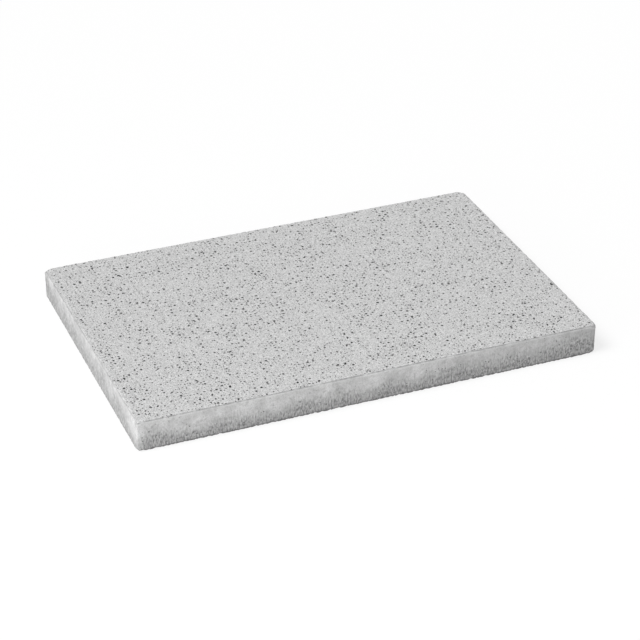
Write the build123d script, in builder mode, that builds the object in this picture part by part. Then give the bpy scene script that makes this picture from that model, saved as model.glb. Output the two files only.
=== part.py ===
from build123d import *
import os

# A pressed concrete paving slab, cast in one piece.
# It lies flat, walking face up, with its length along X and its width along Y.
# The origin is the centre of the underside.

# Overall size
slab_length = 600.0
slab_width = 400.0
slab_thickness = 40.0

# The four upright corners, rounded as the mould's walls leave them
corner_radius = 6.0

# The small bevel round the walking face, which keeps its edge from chipping
arris_width = 2.0
arris_drop = 2.0

# The lower edge, where the fresh slab is pushed out of the mould
lower_edge_radius = 1.0

with BuildPart() as paving_slab:
    # The block, as wide and as long at the top as at the bottom
    with BuildSketch(Plane.XY) as mould_outline:
        RectangleRounded(slab_length, slab_width, corner_radius)
    extrude(amount=slab_thickness)

    # The bevel runs unbroken along the sides and round the corners
    walking_face = paving_slab.faces().sort_by(Axis.Z)[-1]
    chamfer(walking_face.edges(), length=arris_width, length2=arris_drop, reference=walking_face)

    # The lower edge is only eased, so the underside still bears nearly all over
    underside = paving_slab.faces().sort_by(Axis.Z)[0]
    fillet(underside.edges(), radius=lower_edge_radius)

paving_slab.part.label = "paving_slab"

os.makedirs("parts", exist_ok=True)
export_step(paving_slab.part, "parts/paving_slab.step")
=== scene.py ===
import math

import bmesh
import bpy
from mathutils import Matrix, Vector


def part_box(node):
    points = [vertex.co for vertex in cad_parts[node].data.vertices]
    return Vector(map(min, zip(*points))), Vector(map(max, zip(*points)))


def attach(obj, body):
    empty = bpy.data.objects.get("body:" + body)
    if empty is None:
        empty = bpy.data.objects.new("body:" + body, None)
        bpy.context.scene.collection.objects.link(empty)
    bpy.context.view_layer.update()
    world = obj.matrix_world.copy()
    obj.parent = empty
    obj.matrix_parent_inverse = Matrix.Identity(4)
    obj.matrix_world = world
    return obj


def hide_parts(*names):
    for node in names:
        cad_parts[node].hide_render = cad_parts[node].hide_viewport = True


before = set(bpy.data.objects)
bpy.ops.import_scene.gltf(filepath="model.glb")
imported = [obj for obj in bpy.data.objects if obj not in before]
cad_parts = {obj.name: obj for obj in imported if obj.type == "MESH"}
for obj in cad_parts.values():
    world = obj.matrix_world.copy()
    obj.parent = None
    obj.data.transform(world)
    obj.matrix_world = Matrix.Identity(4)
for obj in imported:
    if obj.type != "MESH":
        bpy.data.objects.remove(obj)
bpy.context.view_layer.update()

MM = 0.001

# The slab's sizes, read from the frame
low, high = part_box("paving_slab")
slab_length = high.x - low.x
slab_width = high.y - low.y
slab_thickness = high.z - low.z

# Edge sizes, as the construction has them
corner_radius = 6.0 * MM
arris_bevel = 2.0 * MM
lower_edge_radius = 1.0 * MM

# The two left corners are crisper than the right ones
left_corner_radius = 2.6 * MM

# How far inside the lower edge the flat bearing face starts
bearing_inset = 1.8 * MM

# How many flats make up a rounded corner, and the lower edge
corner_steps = 8
lower_edge_steps = 3

# How finely the faces are cut, so that the relief has points to sit on
walking_face_cell = 2.0 * MM
side_cell = 2.5 * MM

# The shading is smooth over a bend up to this angle, and crisp past it
crisp_bend = math.radians(38)

# Patterns are written in millimetres, and these are the places of the slab's faces in them
left_face = round(low.x / MM, 2)
near_face = round(low.y / MM, 2)
top_face = round(high.z / MM, 2)

# Relief of the walking face: how wide its grains and its slow swell are, and how deep
grain_width = 3.5
grain_depth = 0.22
swell_width = 60.0
swell_depth = 0.25

# Relief of the sides: the same grain, but fainter, and upright grooves where they are dragged
side_grain_depth = 0.1
groove_width = 2.6
groove_depth = 0.7

# The drag marks reach up to a line about 22 mm above the foot, which wanders in wide tongues and
# from groove to groove. They fade in from fade_above over the line to fade_below under it.
tongue_width = 34.0
tongue_rise = 54.0
groove_rise = 20.0
line_base = -15.0
fade_above = 15.0
fade_below = 17.0

# Where in the noise the drag marks start, chosen so that the longest sit as on the real slab
drag_start = (-92, 47, 0)

# Over the right part of the slab the line is higher and the skin greyer. On the left side the
# line is higher towards the far end.
right_part_start = 60.0
right_part_end = 240.0
right_rise = 5.0
far_rise = 9.0

# Breaks: how wide the nibbles of the arris and the crumbs of the foot are, and how far the
# first lower the arris and the second lift the foot
nibble_width = 4.5
nibble_fall = 0.9
crumb_width = 5.0
crumb_rise = 1.5

# Corner wear: how near a corner it starts, how far the tips of the walking face fall, and how
# far the foot rises at the two near corners. The near left tip is crisp.
wear_reach = 12.0
tip_fall = 4.2
near_left_tip_fall = 1.2
near_foot_rise = 3.6

# Camera, found from the slab's outline: it stands off the near left corner
camera_azimuth = math.radians(-21.369)
camera_elevation = math.radians(30.253)
camera_roll = math.radians(-0.397)
camera_distance = 2.8158
camera_slide = 7.28 * MM
camera_lift = 4.17 * MM
photo_size = 640
focal_pixels = 2195.45
sensor_width = 36.0

# Light: a broad high key from the left, and a low soft lamp near the front left corner
world_strength = 0.45
key_direction = (-0.572, -0.05, 0.819)
key_strength = 2.0
key_spread = math.radians(30)
fill_place = (-1.1, -0.9, 0.27)
fill_size = 0.7
fill_power = 5.0

# Floor, and how much of what the camera sees of it is plain white
floor_size = 12.0
floor_glow = 0.75

# A colour mix's sockets share their names with those of its other kinds, so they go by number
mix_share, mix_from, mix_to = 0, 6, 7
mix_result = 2


def linear(code):
    """A colour written as sRGB hex, turned to the linear values that shaders take."""
    parts = [int(code[i:i + 2], 16) / 255 for i in (0, 2, 4)]
    turned = [p / 12.92 if p <= 0.04045 else ((p + 0.055) / 1.055) ** 2.4 for p in parts]
    return (*turned, 1.0)


def add_node(tree, kind, inputs=None, **settings):
    """Adds a node with its settings, and fills its inputs with values or links."""
    node = tree.nodes.new(kind)
    for name, value in settings.items():
        setattr(node, name, value)
    for name, value in (inputs or {}).items():
        socket = node.inputs[name]
        if isinstance(value, bpy.types.NodeSocket):
            tree.links.new(value, socket)
        else:
            socket.default_value = value
    return node


# Modelling


def select_only(mesh, kind, wanted):
    """Selects only the faces or edges, as kind says, that are wanted. Edit mode is on."""
    bpy.ops.mesh.select_all(action="DESELECT")
    shape = bmesh.from_edit_mesh(mesh)
    for item in getattr(shape, kind):
        if wanted(item):
            item.select_set(True)
    bmesh.update_edit_mesh(mesh)


def cut_strips(axis, start, end, cell):
    """Cuts what shows into strips of about one cell, from start to end along an axis."""
    normal = Vector(axis)
    count = round((end - start) / cell)
    for i in range(1, count):
        place = start + (end - start) * i / count
        bpy.ops.mesh.select_all(action="SELECT")
        bpy.ops.mesh.bisect(plane_co=normal * place, plane_no=normal)


def at_height(vertices, height):
    """Whether all the vertices are at a height, to a hundredth of a millimetre."""
    return all(abs(v.co.z - height) < 0.01 * MM for v in vertices)


def is_upright(edge):
    """Whether an edge is a sharp upright one, at a corner that is not rounded yet."""
    first, second = edge.verts
    sharp = len(edge.link_faces) == 2 and edge.calc_face_angle() > math.radians(80)
    return sharp and abs(first.co.z - second.co.z) > slab_thickness / 2


def looks_up(face):
    return face.normal.z > 0.99


def looks_down(face):
    return face.normal.z < -0.99


def make_slab_body():
    """The slab as cast: a block with rounded upright corners, a bevelled arris and an eased foot."""
    bpy.ops.object.select_all(action="DESELECT")
    bpy.ops.mesh.primitive_cube_add(
        size=1.0,
        location=(0, 0, slab_thickness / 2),
        scale=(slab_length, slab_width, slab_thickness),
    )
    body = bpy.context.object
    body.name = body.data.name = "blasted_slab"
    bpy.ops.object.transform_apply(location=True, rotation=True, scale=True)
    mesh = body.data
    bpy.ops.object.mode_set(mode="EDIT")

    bpy.ops.mesh.select_mode(type="EDGE")
    select_only(mesh, "edges", lambda e: is_upright(e) and e.verts[0].co.x > 0)
    bpy.ops.mesh.bevel(offset=corner_radius, segments=corner_steps, affect="EDGES")
    select_only(mesh, "edges", lambda e: is_upright(e) and e.verts[0].co.x < 0)
    bpy.ops.mesh.bevel(offset=left_corner_radius, segments=corner_steps, affect="EDGES")
    select_only(mesh, "edges", lambda e: at_height(e.verts, slab_thickness))
    bpy.ops.mesh.bevel(offset=arris_bevel, segments=1, affect="EDGES")
    select_only(mesh, "edges", lambda e: at_height(e.verts, 0))
    bpy.ops.mesh.bevel(offset=lower_edge_radius, segments=lower_edge_steps, affect="EDGES")

    # The underside is hidden while the rest is cut, so that it stays one flat face
    bpy.ops.mesh.select_mode(type="FACE")
    select_only(mesh, "faces", lambda f: at_height(f.verts, 0))
    bpy.ops.mesh.hide(unselected=False)
    cut_strips((1, 0, 0), -slab_length / 2, slab_length / 2, walking_face_cell)
    cut_strips((0, 1, 0), -slab_width / 2, slab_width / 2, walking_face_cell)
    cut_strips((0, 0, 1), lower_edge_radius, slab_thickness - arris_bevel, side_cell)
    bpy.ops.mesh.reveal()
    bpy.ops.object.mode_set(mode="OBJECT")
    return body


def seat_underside(mesh):
    """Keeps a flat bearing face inside the lower edge, which the relief has left ragged."""
    bpy.ops.object.mode_set(mode="EDIT")
    half_the_plan = slab_length * slab_width / 2
    select_only(mesh, "faces", lambda f: looks_down(f) and f.calc_area() > half_the_plan)
    bpy.ops.mesh.inset(thickness=bearing_inset)
    bpy.ops.transform.resize(value=(1, 1, 0), center_override=(0, 0, 0))
    bpy.ops.object.mode_set(mode="OBJECT")


# Patterns that the relief and the materials share. Every place and size in them is in millimetres.


def drag_marks(tree, place):
    """How far a side is dragged, from 0 to 1, and the noise of its upright grooves.

    The fresh slab is pushed out of the mould downwards, so the wall pulls the paste off the
    lower part of each side in upright tongues of uneven length.
    """
    x, y, height = add_node(tree, "ShaderNodeSeparateXYZ", {0: place}).outputs
    upright = (1, 1, 0.42)
    drawn = add_node(
        tree,
        "ShaderNodeVectorMath",
        {0: place, 1: upright, 2: drag_start},
        operation="MULTIPLY_ADD",
    ).outputs[0]
    groove = add_node(
        tree, "ShaderNodeTexNoise", {"Vector": drawn, "Scale": 1 / groove_width, "Detail": 2.0}
    ).outputs[0]
    tongue = add_node(
        tree, "ShaderNodeTexNoise", {"Vector": drawn, "Scale": 1 / tongue_width, "Detail": 6.0}
    ).outputs[0]
    line = add_node(
        tree, "ShaderNodeMath", {0: groove, 1: groove_rise, 2: line_base}, operation="MULTIPLY_ADD"
    ).outputs[0]
    line = add_node(
        tree, "ShaderNodeMath", {0: tongue, 1: tongue_rise, 2: line}, operation="MULTIPLY_ADD"
    ).outputs[0]

    far_end = add_node(
        tree,
        "ShaderNodeMapRange",
        {"Value": y, "From Min": near_face, "From Max": 50.0, "To Max": far_rise},
    ).outputs[0]
    left_side = add_node(
        tree,
        "ShaderNodeMapRange",
        {"Value": x, "From Min": left_face + 2.5, "From Max": left_face + 1.0, "To Max": far_end},
    ).outputs[0]
    right_part = add_node(
        tree,
        "ShaderNodeMapRange",
        {"Value": x, "From Min": right_part_start, "From Max": right_part_end, "To Max": right_rise},
    ).outputs[0]
    for raised in (left_side, right_part):
        line = add_node(tree, "ShaderNodeMath", {0: line, 1: raised}, operation="ADD").outputs[0]

    below = add_node(tree, "ShaderNodeMath", {0: line, 1: height}, operation="SUBTRACT").outputs[0]
    dragged = add_node(
        tree,
        "ShaderNodeMapRange",
        {"Value": below, "From Min": -fade_above, "From Max": fade_below},
        interpolation_type="SMOOTHSTEP",
    ).outputs[0]
    return dragged, groove


def corner_wear(tree, place):
    """How worn a place is by its nearness to a corner, seen from above: from 0 to 1.

    It is 0 out of reach, and 1 a millimetre from the sharp corner, as near as the rounded left
    corners come.
    """
    sides = add_node(tree, "ShaderNodeVectorMath", {0: place}, operation="ABSOLUTE").outputs[0]
    plan = add_node(
        tree, "ShaderNodeVectorMath", {0: sides, 1: (1, 1, 0)}, operation="MULTIPLY"
    ).outputs[0]
    corner = (-left_face, -near_face, 0)
    to_corner = add_node(
        tree, "ShaderNodeVectorMath", {0: plan, 1: corner}, operation="DISTANCE"
    ).outputs["Value"]
    near = add_node(
        tree, "ShaderNodeMapRange", {"Value": to_corner, "From Min": wear_reach, "From Max": 1.0}
    ).outputs[0]
    return add_node(tree, "ShaderNodeMath", {0: near, 1: 2.0}, operation="POWER").outputs[0]


def tip_drop(tree, place):
    """How far, in mm, the walking face drops at its corner tips."""
    # The lean is twice left_face at the near left corner. It is 0 or more at the others, which
    # have the whole fall.
    diagonal = (1, left_face / near_face, 0)
    lean = add_node(
        tree, "ShaderNodeVectorMath", {0: place, 1: diagonal}, operation="DOT_PRODUCT"
    ).outputs["Value"]
    fall = add_node(
        tree,
        "ShaderNodeMapRange",
        {
            "Value": lean,
            "From Min": 2 * left_face,
            "From Max": -100.0,
            "To Min": near_left_tip_fall,
            "To Max": tip_fall,
        },
    ).outputs[0]
    return add_node(
        tree, "ShaderNodeMath", {0: corner_wear(tree, place), 1: fall}, operation="MULTIPLY"
    ).outputs[0]


# Relief. A face's facing is 1 where it looks up, 0 where it stands and -1 where it looks down.


def sunk_depth(tree, place, facing):
    """How deep, in mm, the faces sink into the slab.

    On the walking face grains stand proud of the blasted paste, over a slow swell. The sides
    are nearly flat above, and dragged into upright grooves below.
    """
    grain = add_node(
        tree, "ShaderNodeTexNoise", {"Vector": place, "Scale": 1 / grain_width, "Detail": 2.0}
    ).outputs[0]
    swell = add_node(
        tree, "ShaderNodeTexNoise", {"Vector": place, "Scale": 1 / swell_width, "Detail": 1.0}
    ).outputs[0]
    top_depth = add_node(
        tree, "ShaderNodeMath", {0: grain, 1: grain_depth}, operation="MULTIPLY"
    ).outputs[0]
    top_depth = add_node(
        tree, "ShaderNodeMath", {0: swell, 1: swell_depth, 2: top_depth}, operation="MULTIPLY_ADD"
    ).outputs[0]
    on_top = add_node(
        tree, "ShaderNodeMapRange", {"Value": facing, "From Min": 0.6, "From Max": 0.95}
    ).outputs[0]
    top_part = add_node(
        tree, "ShaderNodeMath", {0: top_depth, 1: on_top}, operation="MULTIPLY"
    ).outputs[0]

    dragged, groove = drag_marks(tree, place)
    side_depth = add_node(
        tree, "ShaderNodeMath", {0: groove, 1: dragged}, operation="MULTIPLY"
    ).outputs[0]
    side_depth = add_node(
        tree, "ShaderNodeMath", {0: side_depth, 1: groove_depth}, operation="MULTIPLY"
    ).outputs[0]
    side_depth = add_node(
        tree,
        "ShaderNodeMath",
        {0: grain, 1: side_grain_depth, 2: side_depth},
        operation="MULTIPLY_ADD",
    ).outputs[0]
    steepness = add_node(tree, "ShaderNodeMath", {0: facing}, operation="ABSOLUTE").outputs[0]
    on_side = add_node(
        tree, "ShaderNodeMapRange", {"Value": steepness, "From Min": 0.9, "From Max": 0.4}
    ).outputs[0]
    return add_node(
        tree, "ShaderNodeMath", {0: side_depth, 1: on_side, 2: top_part}, operation="MULTIPLY_ADD"
    ).outputs[0]


def upper_edge_fall(tree, place, facing, height):
    """How far, in mm, the upper edge falls: nibbled all along, and knocked down at its tips."""
    nibble = add_node(
        tree, "ShaderNodeTexNoise", {"Vector": place, "Scale": 1 / nibble_width, "Detail": 3.0}
    ).outputs[0]
    nibbled = add_node(
        tree,
        "ShaderNodeMapRange",
        {"Value": nibble, "From Min": 0.45, "From Max": 0.7, "To Max": nibble_fall},
    ).outputs[0]
    slope = add_node(
        tree, "ShaderNodeMapRange", {"Value": facing, "From Min": 0.98, "From Max": 0.92}
    ).outputs[0]
    bank = add_node(
        tree, "ShaderNodeMapRange", {"Value": facing, "From Min": 0.15, "From Max": 0.3}
    ).outputs[0]
    on_arris = add_node(tree, "ShaderNodeMath", {0: slope, 1: bank}, operation="MULTIPLY").outputs[0]
    nibbled = add_node(
        tree, "ShaderNodeMath", {0: nibbled, 1: on_arris}, operation="MULTIPLY"
    ).outputs[0]
    from_top = add_node(
        tree,
        "ShaderNodeMapRange",
        {"Value": height, "From Min": top_face - 7.0, "From Max": top_face},
    ).outputs[0]
    return add_node(
        tree,
        "ShaderNodeMath",
        {0: tip_drop(tree, place), 1: from_top, 2: nibbled},
        operation="MULTIPLY_ADD",
    ).outputs[0]


def foot_rise(tree, place, height):
    """How far, in mm, the lower edge rises: crumbs broken off, and the two near corners worn."""
    crumb = add_node(
        tree,
        "ShaderNodeTexNoise",
        {"Vector": place, "Scale": 1 / crumb_width, "Detail": 5.0},
        noise_dimensions="2D",
    ).outputs[0]
    broken = add_node(
        tree,
        "ShaderNodeMapRange",
        {"Value": crumb, "From Min": 0.42, "From Max": 0.7, "To Max": crumb_rise},
    ).outputs[0]
    y = add_node(tree, "ShaderNodeSeparateXYZ", {0: place}).outputs[1]
    near_side = add_node(
        tree,
        "ShaderNodeMapRange",
        {"Value": y, "From Min": 0.0, "From Max": -150.0, "To Max": near_foot_rise},
    ).outputs[0]
    lost = add_node(
        tree,
        "ShaderNodeMath",
        {0: corner_wear(tree, place), 1: near_side, 2: broken},
        operation="MULTIPLY_ADD",
    ).outputs[0]
    reach = add_node(
        tree, "ShaderNodeMapRange", {"Value": height, "From Min": 6.0, "From Max": 0.0}
    ).outputs[0]
    return add_node(tree, "ShaderNodeMath", {0: lost, 1: reach}, operation="MULTIPLY").outputs[0]


def relief_tree():
    """Sinks the cut faces, lowers the upper edge and lifts the lower one."""
    tree = bpy.data.node_groups.new("cast_relief", "GeometryNodeTree")
    tree.interface.new_socket("Geometry", in_out="INPUT", socket_type="NodeSocketGeometry")
    tree.interface.new_socket("Geometry", in_out="OUTPUT", socket_type="NodeSocketGeometry")
    shape = add_node(tree, "NodeGroupInput").outputs[0]
    position = add_node(tree, "GeometryNodeInputPosition").outputs[0]
    place = add_node(
        tree, "ShaderNodeVectorMath", {0: position, "Scale": 1 / MM}, operation="SCALE"
    ).outputs[0]
    normal = add_node(tree, "GeometryNodeInputNormal").outputs[0]
    facing = add_node(tree, "ShaderNodeSeparateXYZ", {0: normal}).outputs[2]
    height = add_node(tree, "ShaderNodeSeparateXYZ", {0: place}).outputs[2]

    depth = sunk_depth(tree, place, facing)
    inwards = add_node(tree, "ShaderNodeMath", {0: depth, 1: -MM}, operation="MULTIPLY").outputs[0]
    push = add_node(
        tree, "ShaderNodeVectorMath", {0: normal, "Scale": inwards}, operation="SCALE"
    ).outputs[0]
    rise = foot_rise(tree, place, height)
    fall = upper_edge_fall(tree, place, facing, height)
    rise = add_node(tree, "ShaderNodeMath", {0: rise, 1: fall}, operation="SUBTRACT").outputs[0]
    rise = add_node(tree, "ShaderNodeMath", {0: rise, 1: MM}, operation="MULTIPLY").outputs[0]
    raised = add_node(tree, "ShaderNodeCombineXYZ", {2: rise}).outputs[0]
    offset = add_node(tree, "ShaderNodeVectorMath", {0: push, 1: raised}, operation="ADD").outputs[0]
    moved = add_node(tree, "GeometryNodeSetPosition", {"Geometry": shape, "Offset": offset})
    add_node(tree, "NodeGroupOutput", {0: moved.outputs[0]})
    return tree


# Materials. Their patterns are sized in millimetres too.


def new_material(name):
    """An empty material, and the place of each point on the slab in millimetres."""
    material = bpy.data.materials.new(name)
    material.use_nodes = True
    tree = material.node_tree
    tree.nodes.clear()
    spot = add_node(tree, "ShaderNodeTexCoord").outputs["Object"]
    place = add_node(
        tree, "ShaderNodeVectorMath", {0: spot, "Scale": 1 / MM}, operation="SCALE"
    ).outputs[0]
    return material, tree, place


def finish_material(tree, colour, roughness, height, depth):
    """Joins the colour and the fine relief, depth millimetres deep, to a stone shader."""
    bump = add_node(tree, "ShaderNodeBump", {"Height": height, "Distance": depth * MM, "Strength": 1.0})
    shader = add_node(
        tree,
        "ShaderNodeBsdfPrincipled",
        {"Base Color": colour, "Roughness": roughness, "Normal": bump.outputs[0], "IOR": 1.5},
    )
    add_node(tree, "ShaderNodeOutputMaterial", {"Surface": shader.outputs[0]})


def lay_chips(tree, ground, place, thinning, cell, largest, share, dark, light, dimensions="2D"):
    """Lays chips of stone over the ground, and gives the new colour and where the chips are.

    Each cell of the given width may hold one chip. A share of them does, with radii from the
    largest down to nothing. Above 0, thinning makes the chips smaller and fewer, and below 0
    larger and more. Their tones run from dark to light.
    """
    cells = add_node(
        tree,
        "ShaderNodeTexVoronoi",
        {"Vector": place, "Scale": 1 / cell},
        voronoi_dimensions=dimensions,
    )
    pick = add_node(tree, "ShaderNodeSeparateColor", {0: cells.outputs["Color"]})
    luck = add_node(
        tree, "ShaderNodeMath", {0: pick.outputs[0], 1: thinning}, operation="ADD"
    ).outputs[0]
    radius = add_node(
        tree, "ShaderNodeMath", {0: luck, 1: -largest / share, 2: largest}, operation="MULTIPLY_ADD"
    ).outputs[0]
    inside = add_node(
        tree,
        "ShaderNodeMath",
        {0: cells.outputs["Distance"], 1: -cell, 2: radius},
        operation="MULTIPLY_ADD",
    ).outputs[0]
    chip = add_node(
        tree, "ShaderNodeMapRange", {"Value": inside, "From Min": -0.1, "From Max": 0.1}
    ).outputs[0]
    stone = add_node(
        tree,
        "ShaderNodeMix",
        {mix_share: pick.outputs[1], mix_from: linear(dark), mix_to: linear(light)},
        data_type="RGBA",
    ).outputs[mix_result]
    laid = add_node(
        tree,
        "ShaderNodeMix",
        {mix_share: chip, mix_from: ground, mix_to: stone},
        data_type="RGBA",
    ).outputs[mix_result]
    return laid, chip


def blasted_face():
    """The walking face: blasted, so sand and dark chips of basalt show in the pale paste."""
    material, tree, place = new_material("blasted_concrete")
    rough_width = 0.77
    ragged_by = (0.53, 0.53, 0)
    cloud_width = 24.0
    rough = add_node(
        tree, "ShaderNodeTexNoise", {"Vector": place, "Scale": 1 / rough_width, "Detail": 2.0})
    ragged = add_node(
        tree,
        "ShaderNodeVectorMath",
        {0: rough.outputs["Color"], 1: ragged_by, 2: place},
        operation="MULTIPLY_ADD",
    ).outputs[0]
    cloud = add_node(
        tree, "ShaderNodeTexNoise", {"Vector": place, "Scale": 1 / cloud_width, "Detail": 1.0}
    ).outputs[0]
    thinning = add_node(
        tree, "ShaderNodeMapRange", {"Value": cloud, "To Min": -0.3, "To Max": 0.3}
    ).outputs[0]

    # The real sand is finer than the render can show, so it is drawn as 1 mm grains
    sand_width = 1.0
    sand = add_node(
        tree,
        "ShaderNodeTexVoronoi",
        {"Vector": ragged, "Scale": 1 / sand_width},
        voronoi_dimensions="2D",
    )
    sand_pick = add_node(tree, "ShaderNodeSeparateColor", {0: sand.outputs["Color"]}).outputs[0]
    colour = add_node(
        tree,
        "ShaderNodeMix",
        {mix_share: sand_pick, mix_from: linear("B3B3B3"), mix_to: linear("E3E3E3")},
        data_type="RGBA",
    ).outputs[mix_result]

    # Painted shade in small pits, then small and large chips of basalt
    colour, pit_shade = lay_chips(
        tree, colour, ragged, thinning,
        cell=2.25, largest=0.45, share=1.0, dark="3C3C3C", light="8C8C8C",
    )
    colour = lay_chips(
        tree, colour, ragged, thinning,
        cell=4.1, largest=0.97, share=0.6, dark="0A0A0A", light="282828",
    )[0]
    colour = lay_chips(
        tree, colour, ragged, thinning,
        cell=8.6, largest=1.6, share=0.9, dark="020202", light="0A0A0A",
    )[0]
    pitted = add_node(
        tree, "ShaderNodeMath", {0: pit_shade, 1: -0.8, 2: rough.outputs[0]}, operation="MULTIPLY_ADD"
    ).outputs[0]
    finish_material(tree, colour, roughness=0.9, height=pitted, depth=0.34)
    return material


def cement_skin(tree, place):
    """Cloudy cement, greyer over the right part, with a few flat smears where the wall stuck."""
    cloud_width = 17.0
    smear_width = 4.5
    flat = (0.7, 0.7, 1)
    mottle = add_node(
        tree,
        "ShaderNodeTexNoise",
        {"Vector": place, "Scale": 1 / cloud_width, "Detail": 4.0, "Roughness": 0.62},
    ).outputs[0]
    mottled = add_node(
        tree, "ShaderNodeMapRange", {"Value": mottle, "From Min": 0.35, "From Max": 0.65}
    ).outputs[0]
    skin = add_node(
        tree,
        "ShaderNodeMix",
        {mix_share: mottled, mix_from: linear("BABABA"), mix_to: linear("D6D6D6")},
        data_type="RGBA",
    ).outputs[mix_result]

    x = add_node(tree, "ShaderNodeSeparateXYZ", {0: place}).outputs[0]
    greyer = add_node(
        tree,
        "ShaderNodeMapRange",
        {"Value": x, "From Min": right_part_start, "From Max": right_part_end, "To Max": 0.3},
    ).outputs[0]
    drawn = add_node(
        tree, "ShaderNodeVectorMath", {0: place, 1: flat}, operation="MULTIPLY"
    ).outputs[0]
    stuck = add_node(
        tree, "ShaderNodeTexNoise", {"Vector": drawn, "Scale": 1 / smear_width, "Detail": 2.0}
    ).outputs[0]
    smeared = add_node(
        tree,
        "ShaderNodeMapRange",
        {"Value": stuck, "From Min": 0.5, "From Max": 0.75, "To Max": 0.42},
        interpolation_type="SMOOTHSTEP",
    ).outputs[0]
    for share, tone in ((greyer, "A0A0A0"), (smeared, "8C8C8C")):
        skin = add_node(
            tree,
            "ShaderNodeMix",
            {mix_share: share, mix_from: skin, mix_to: linear(tone)},
            data_type="RGBA",
        ).outputs[mix_result]
    return skin


def torn_core(tree, place):
    """Torn paste in upright streaks, darker towards the foot by painted shade, and the noise of the
    streaks.
    """
    streak_width = 1.9
    upright = (1, 1, 0.4)
    drawn = add_node(
        tree, "ShaderNodeVectorMath", {0: place, 1: upright}, operation="MULTIPLY"
    ).outputs[0]
    streak = add_node(
        tree,
        "ShaderNodeTexNoise",
        {"Vector": drawn, "Scale": 1 / streak_width, "Detail": 3.0, "Distortion": 0.2},
    ).outputs[0]
    deep = add_node(
        tree, "ShaderNodeMapRange", {"Value": streak, "From Min": 0.36, "From Max": 0.64}
    ).outputs[0]
    core = add_node(
        tree,
        "ShaderNodeMix",
        {mix_share: deep, mix_from: linear("C0C0C0"), mix_to: linear("707070")},
        data_type="RGBA",
    ).outputs[mix_result]
    height = add_node(tree, "ShaderNodeSeparateXYZ", {0: place}).outputs[2]
    # Painted shade: the core darkens towards the foot, where less light reaches
    low_down_shade = add_node(
        tree,
        "ShaderNodeMapRange",
        {"Value": height, "From Min": 24.0, "From Max": 1.0, "To Max": 0.22},
    ).outputs[0]
    core = add_node(
        tree,
        "ShaderNodeMix",
        {mix_share: low_down_shade, mix_from: core, mix_to: linear("7C7C7C")},
        data_type="RGBA",
    ).outputs[mix_result]
    return core, streak


def edge_tones(tree, place):
    """The tones along a side's edges, each with its share of the colour there.

    They are a pale band under the arris, a dark broken line along it, and a dark foot of painted
    shadow where the slab meets the floor. All are fainter on the left side, and the first two
    follow the knocked-down corner tips.
    """
    x, y, height = add_node(tree, "ShaderNodeSeparateXYZ", {0: place}).outputs
    cast_height = add_node(
        tree, "ShaderNodeMath", {0: tip_drop(tree, place), 1: height}, operation="ADD"
    ).outputs[0]
    # A pale band that covers the arris bevel and the side just below it
    pale_band = add_node(
        tree,
        "ShaderNodeMapRange",
        {"Value": cast_height, "From Min": top_face - 4.2, "From Max": top_face - 2.6, "To Max": 0.25},
    ).outputs[0]
    # Painted shadow: the foot darkens where the slab meets the floor
    foot = add_node(
        tree,
        "ShaderNodeMapRange",
        {"Value": height, "From Min": 3.2, "From Max": 1.0, "To Max": 0.75},
    ).outputs[0]
    faint_left = add_node(
        tree,
        "ShaderNodeMapRange",
        {"Value": x, "From Min": left_face, "From Max": left_face + 5.0, "To Min": 0.3},
    ).outputs[0]
    pale_band = add_node(tree, "ShaderNodeMath", {0: pale_band, 1: faint_left}, operation="MULTIPLY").outputs[0]
    foot = add_node(tree, "ShaderNodeMath", {0: foot, 1: faint_left}, operation="MULTIPLY").outputs[0]

    dash_width = 7.0
    dash = add_node(
        tree, "ShaderNodeTexNoise", {"Vector": place, "Scale": 1 / dash_width, "Detail": 2.0}
    ).outputs[0]
    dashed = add_node(
        tree,
        "ShaderNodeMapRange",
        {"Value": dash, "From Min": 0.25, "From Max": 0.6, "To Max": 0.66},
    ).outputs[0]
    rim = add_node(
        tree,
        "ShaderNodeMapRange",
        {"Value": cast_height, "From Min": top_face - 2.0, "From Max": top_face - 1.0},
        interpolation_type="SMOOTHSTEP",
    ).outputs[0]
    far_rim = add_node(
        tree,
        "ShaderNodeMapRange",
        {"Value": y, "From Min": -100.0, "From Max": 150.0, "To Min": 0.4, "To Max": 0.85},
    ).outputs[0]
    faint_rim = add_node(
        tree,
        "ShaderNodeMapRange",
        {"Value": x, "From Min": left_face + 1.0, "From Max": left_face + 3.0, "To Min": far_rim},
    ).outputs[0]
    for share in (dashed, faint_rim):
        rim = add_node(tree, "ShaderNodeMath", {0: rim, 1: share}, operation="MULTIPLY").outputs[0]
    return (pale_band, "D0D0D0"), (rim, "747474"), (foot, "4E4E4E")


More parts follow.
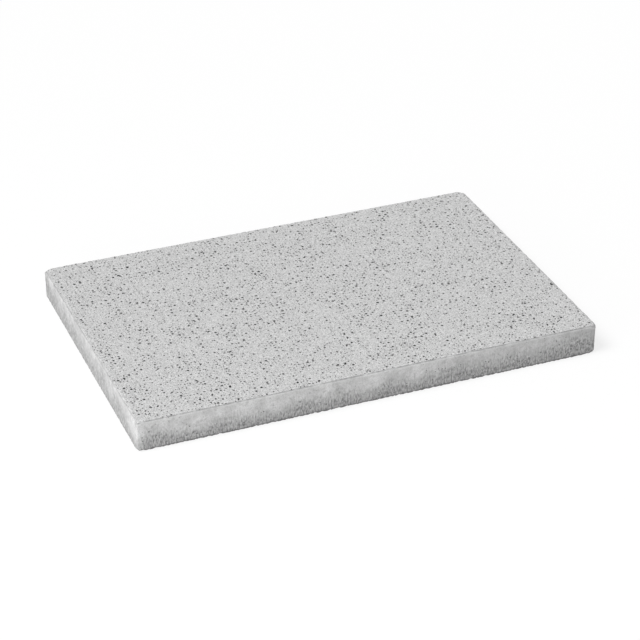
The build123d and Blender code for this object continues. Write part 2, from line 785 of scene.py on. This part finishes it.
def mould_side():
    """The sides: smooth cement skin off the mould wall above, dragged open and gritty below."""
    material, tree, place = new_material("mould_cast_concrete")
    dragged, groove = drag_marks(tree, place)
    core, streak = torn_core(tree, place)
    x = add_node(tree, "ShaderNodeSeparateXYZ", {0: place}).outputs[0]
    less_left = add_node(
        tree,
        "ShaderNodeMapRange",
        {"Value": x, "From Min": left_face, "From Max": left_face + 10.0, "To Min": 0.82},
    ).outputs[0]
    torn = add_node(tree, "ShaderNodeMath", {0: dragged, 1: less_left}, operation="MULTIPLY").outputs[0]
    colour = add_node(
        tree,
        "ShaderNodeMix",
        {mix_share: torn, mix_from: cement_skin(tree, place), mix_to: core},
        data_type="RGBA",
    ).outputs[mix_result]

    # Grains all over, and small stones that show most where the side is torn
    fine_grain_width = 1.3
    grain = add_node(
        tree, "ShaderNodeTexNoise", {"Vector": place, "Scale": 1 / fine_grain_width, "Detail": 2.0}
    ).outputs[0]
    grained = add_node(
        tree,
        "ShaderNodeMapRange",
        {"Value": grain, "From Min": 0.45, "From Max": 0.7, "To Max": 0.33},
    ).outputs[0]
    colour = add_node(
        tree,
        "ShaderNodeMix",
        {mix_share: grained, mix_from: colour, mix_to: linear("808080")},
        data_type="RGBA",
    ).outputs[mix_result]
    thinning = add_node(
        tree, "ShaderNodeMapRange", {"Value": torn, "To Min": 0.35, "To Max": -0.1}
    ).outputs[0]
    colour = lay_chips(
        tree, colour, place, thinning,
        cell=4.2, largest=1.3, share=0.8, dark="5C5C5C", light="8A8A8A", dimensions="3D",
    )[0]
    # The edge tones; the dark foot among them is painted shadow
    for share, tone in edge_tones(tree, place):
        colour = add_node(
            tree,
            "ShaderNodeMix",
            {mix_share: share, mix_from: colour, mix_to: linear(tone)},
            data_type="RGBA",
        ).outputs[mix_result]
    fine = add_node(tree, "ShaderNodeMath", {0: streak, 1: groove}, operation="ADD").outputs[0]
    finish_material(tree, colour, roughness=0.85, height=fine, depth=0.2)
    return material


def cast_underside():
    """The underside: open and porous as the pallet it was cast on leaves it, with painted shade in its
    sunk pores.
    """
    material, tree, place = new_material("pallet_cast_concrete")
    open_grain_width = 2.4
    patch_width = 40.0
    open_grain = add_node(
        tree, "ShaderNodeTexNoise", {"Vector": place, "Scale": 1 / open_grain_width, "Detail": 5.0}
    ).outputs[0]
    patchy = add_node(
        tree, "ShaderNodeTexNoise", {"Vector": place, "Scale": 1 / patch_width, "Detail": 3.0}
    ).outputs[0]
    tone = add_node(tree, "ShaderNodeMath", {0: open_grain, 1: patchy}, operation="ADD").outputs[0]
    toned = add_node(
        tree, "ShaderNodeMapRange", {"Value": tone, "From Min": 0.75, "From Max": 1.25}
    ).outputs[0]
    colour = add_node(
        tree,
        "ShaderNodeMix",
        {mix_share: toned, mix_from: linear("868686"), mix_to: linear("BEBEBE")},
        data_type="RGBA",
    ).outputs[mix_result]
    # Painted shade in the pores, which the bump below sinks
    colour, pore_shade = lay_chips(
        tree, colour, place, patchy,
        cell=7.0, largest=1.6, share=1.2, dark="4A4A4A", light="6E6E6E",
    )
    hollow = add_node(
        tree, "ShaderNodeMath", {0: pore_shade, 1: -1.5, 2: open_grain}, operation="MULTIPLY_ADD"
    ).outputs[0]
    finish_material(tree, colour, roughness=0.95, height=hollow, depth=0.4)
    return material


def lay_materials(body):
    """Gives the sides, the walking face and the underside each its own material."""
    for surface in (mould_side(), blasted_face(), cast_underside()):
        body.data.materials.append(surface)
    bpy.ops.object.mode_set(mode="EDIT")
    bpy.ops.mesh.select_mode(type="FACE")
    for place_in_list, wanted in ((1, looks_up), (2, looks_down)):
        select_only(body.data, "faces", wanted)
        body.active_material_index = place_in_list
        bpy.ops.object.material_slot_assign()
    bpy.ops.object.mode_set(mode="OBJECT")


slab = make_slab_body()
lay_materials(slab)
relief = slab.modifiers.new("cast_relief", "NODES")
relief.node_group = relief_tree()
bpy.ops.object.modifier_apply(modifier=relief.name)
seat_underside(slab.data)
bpy.ops.object.shade_smooth_by_angle(angle=crisp_bend)

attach(slab, "root")
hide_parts("paving_slab")


# Stage: a plain white floor, which keeps the slab's soft shadow


def seen_directly(tree):
    """1 for the rays that carry the picture and its reflections, 0 for those that carry light."""
    path = add_node(tree, "ShaderNodeLightPath")
    seen = path.outputs["Is Camera Ray"]
    for name in ("Is Glossy Ray", "Is Transmission Ray"):
        seen = add_node(
            tree, "ShaderNodeMath", {0: seen, 1: path.outputs[name]}, operation="MAXIMUM"
        ).outputs[0]
    return seen


def white_floor():
    """White board. Part of what the camera sees of it is plain white, so the shadow stays faint."""
    material = bpy.data.materials.new("white_floor")
    material.use_nodes = True
    tree = material.node_tree
    tree.nodes.clear()
    glow = add_node(
        tree, "ShaderNodeMath", {0: seen_directly(tree), 1: floor_glow}, operation="MULTIPLY"
    ).outputs[0]
    board = add_node(tree, "ShaderNodeBsdfDiffuse", {"Color": (1, 1, 1, 1)})
    white = add_node(tree, "ShaderNodeEmission", {"Strength": 1.0})
    both = add_node(tree, "ShaderNodeMixShader", {0: glow, 1: board.outputs[0], 2: white.outputs[0]})
    add_node(tree, "ShaderNodeOutputMaterial", {"Surface": both.outputs[0]})
    return material


def light_world():
    """Even light from all round, which the camera sees as plain white."""
    world = bpy.data.worlds.new("white_studio")
    world.use_nodes = True
    tree = world.node_tree
    tree.nodes.clear()
    strength = add_node(
        tree,
        "ShaderNodeMapRange",
        {"Value": seen_directly(tree), "To Min": world_strength, "To Max": 1.0},
    ).outputs[0]
    sky = add_node(tree, "ShaderNodeBackground", {"Color": (1, 1, 1, 1), "Strength": strength})
    add_node(tree, "ShaderNodeOutputWorld", {"Surface": sky.outputs[0]})
    bpy.context.scene.world = world


def place_lamp(lamp, place):
    """Puts a lamp at a place, turned to shine on the slab."""
    holder = bpy.data.objects.new(lamp.name, lamp)
    bpy.context.scene.collection.objects.link(holder)
    holder.location = place
    holder.rotation_euler = (-Vector(place)).to_track_quat("-Z", "Y").to_euler()


def add_lamps():
    key = bpy.data.lights.new("key", "SUN")
    key.energy = key_strength
    key.angle = key_spread
    place_lamp(key, key_direction)
    fill = bpy.data.lights.new("low_fill", "AREA")
    fill.size = fill_size
    fill.energy = fill_power
    place_lamp(fill, fill_place)


def add_camera():
    """Stands the camera where the photograph was taken from."""
    back = Vector((
        math.sin(camera_azimuth) * math.cos(camera_elevation),
        -math.cos(camera_azimuth) * math.cos(camera_elevation),
        math.sin(camera_elevation),
    ))
    level_right = Vector((0, 0, 1)).cross(back).normalized()
    level_up = back.cross(level_right)
    turn_cos, turn_sin = math.cos(camera_roll), math.sin(camera_roll)
    right = turn_cos * level_right + turn_sin * level_up
    up = -turn_sin * level_right + turn_cos * level_up
    data = bpy.data.cameras.new("camera")
    data.sensor_width = sensor_width
    data.lens = focal_pixels / photo_size * sensor_width
    holder = bpy.data.objects.new("camera", data)
    bpy.context.scene.collection.objects.link(holder)
    holder.location = right * camera_slide + up * camera_lift + back * camera_distance
    facing = Matrix((right, up, back)).transposed()
    holder.rotation_euler = facing.to_euler()
    bpy.context.scene.camera = holder


bpy.ops.object.select_all(action="DESELECT")
bpy.ops.mesh.primitive_plane_add(size=floor_size, location=(0, 0, 0))
floor = bpy.context.object
floor.name = "floor"
floor.data.materials.append(white_floor())
light_world()
add_lamps()
add_camera()
bpy.context.scene.view_settings.view_transform = "Standard"
